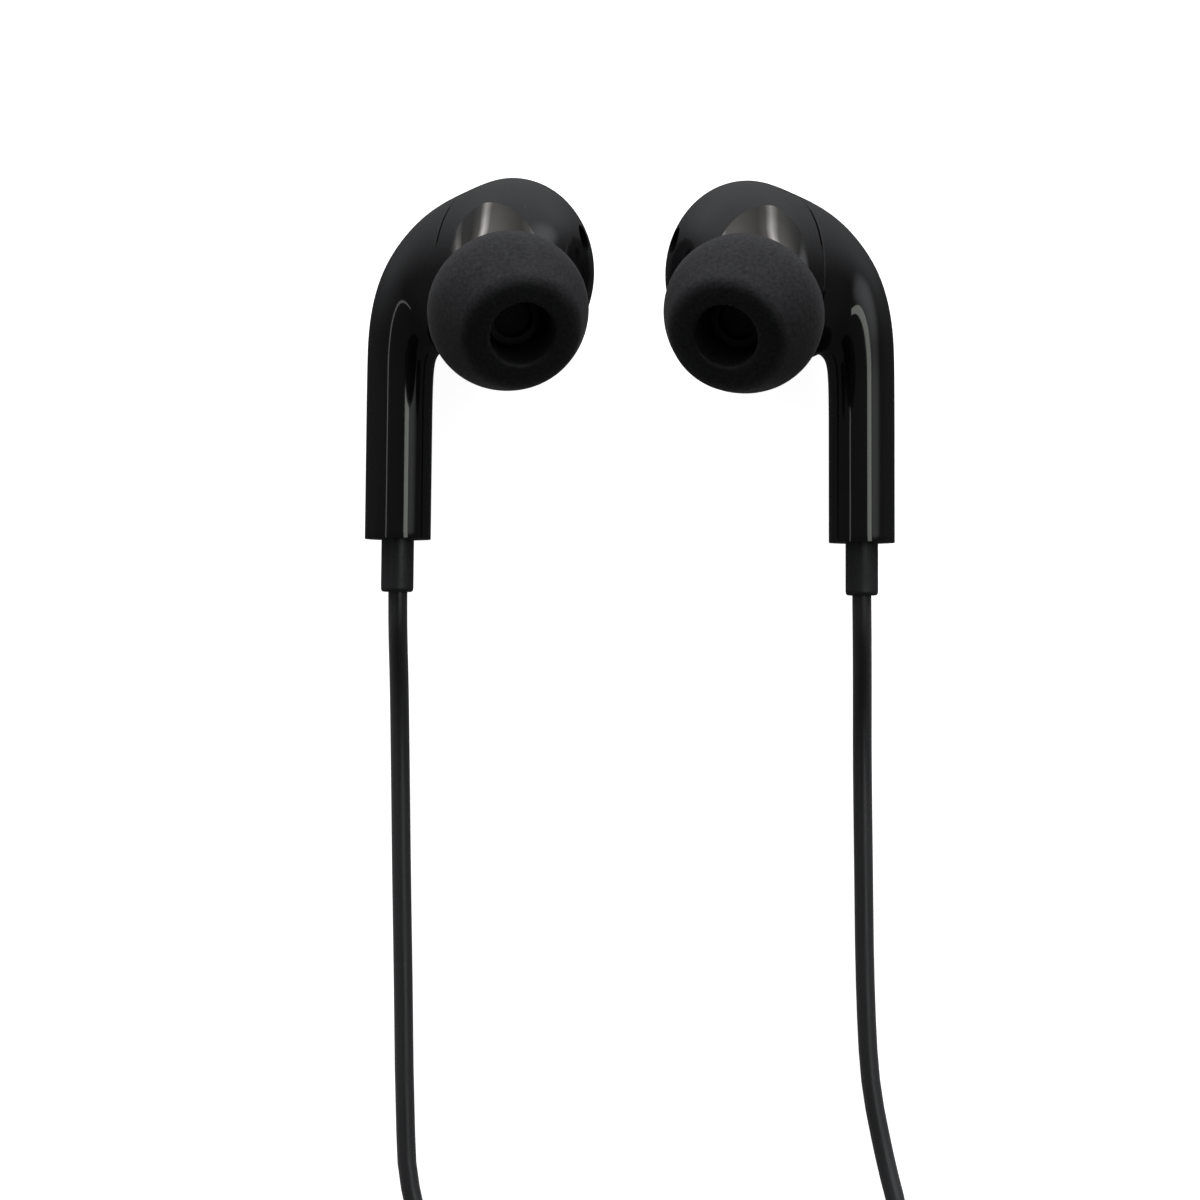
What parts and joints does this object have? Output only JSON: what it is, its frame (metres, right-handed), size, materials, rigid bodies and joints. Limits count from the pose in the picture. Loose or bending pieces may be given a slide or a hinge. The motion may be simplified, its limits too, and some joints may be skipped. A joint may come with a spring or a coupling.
{
  "type": "wired earphones",
  "caption": "In-ear wired earphones: glossy black buds on straight stems with silicone tips, cables, a button remote, a split and a round jack plug, cord wound for storage.",
  "frame": {"origin": "on the surface the earphones lie on, under the middle of the box of the two earpieces", "axes": "+X from the left earpiece to the right one, +Y up the stems towards the buds, +Z off the surface, the way the ear tips face"},
  "size_m": [0.0556, 0.1345, 0.0233],
  "materials": {
    "gloss_shell": "polished black ABS",
    "silicone_tip": "soft matt silicone with a fine speckle",
    "gunmetal_nozzle": "dark anodised, turned and polished",
    "fine_mesh": "blackened woven mesh",
    "matt_rubber": "matt moulded elastomer",
    "cable_jacket": "smooth matt elastomer jacket",
    "tie_rubber": "matt strap",
    "steel": "stamped",
    "magnet": "nickel plated",
    "film": "thin clear film",
    "circuit_board": "solder mask",
    "gold_contact": "gold plated",
    "insulator": "black insulator"
  },
  "bodies": {
    "root": {"cable_coil": "cable_jacket", "coil_tie_left": "tie_rubber", "coil_tie_right": "tie_rubber", "left_back_shell": "gloss_shell", "left_cable": "cable_jacket", "left_driver_board": "circuit_board", "left_driver_diaphragm": "film", "left_driver_frame": "steel", "left_driver_gasket": "matt_rubber", "left_driver_magnet": "magnet", "left_front_shell": "gloss_shell", "left_inner_lead": "cable_jacket", "left_nozzle": "gunmetal_nozzle", "left_nozzle_mesh": "fine_mesh", "left_stem_cap": "gloss_shell", "left_strain_relief": "matt_rubber", "left_vent_mesh": "fine_mesh", "main_cable_end": "cable_jacket", "main_cable_start": "cable_jacket", "plug_grip": "matt_rubber", "plug_insulator": "insulator", "plug_relief": "matt_rubber", "plug_ring_1": "gold_contact", "plug_ring_2": "gold_contact", "plug_sleeve": "gold_contact", "plug_tip": "gold_contact", "remote_base": "gloss_shell", "remote_board": "circuit_board", "remote_cover": "gloss_shell", "remote_lower_relief": "matt_rubber", "remote_microphone": "steel", "remote_switch": "steel", "remote_upper_relief": "matt_rubber", "right_back_shell": "gloss_shell", "right_cable_lower": "cable_jacket", "right_cable_upper": "cable_jacket", "right_driver_board": "circuit_board", "right_driver_diaphragm": "film", "right_driver_frame": "steel", "right_driver_gasket": "matt_rubber", "right_driver_magnet": "magnet", "right_front_shell": "gloss_shell", "right_inner_lead": "cable_jacket", "right_nozzle": "gunmetal_nozzle", "right_nozzle_mesh": "fine_mesh", "right_stem_cap": "gloss_shell", "right_strain_relief": "matt_rubber", "right_vent_mesh": "fine_mesh", "y_split": "matt_rubber"},
    "left_tip": {"left_ear_tip": "silicone_tip"},
    "right_tip": {"right_ear_tip": "silicone_tip"},
    "button": {"remote_button": "matt_rubber"}
  },
  "joints": [
    {"name": "left_tip_pull", "type": "slide", "parent": "root", "child": "left_tip", "axis": [0.2449, -0.41, 0.8786], "range_m": [0, 0.007]},
    {"name": "right_tip_pull", "type": "slide", "parent": "root", "child": "right_tip", "axis": [-0.3129, -0.4075, 0.8579], "range_m": [0, 0.007]},
    {"name": "remote_button_press", "type": "slide", "parent": "root", "child": "button", "axis": [0, 0, -1], "range_m": [0, 0.0003], "stiffness_N_per_m": 400}
  ]
}
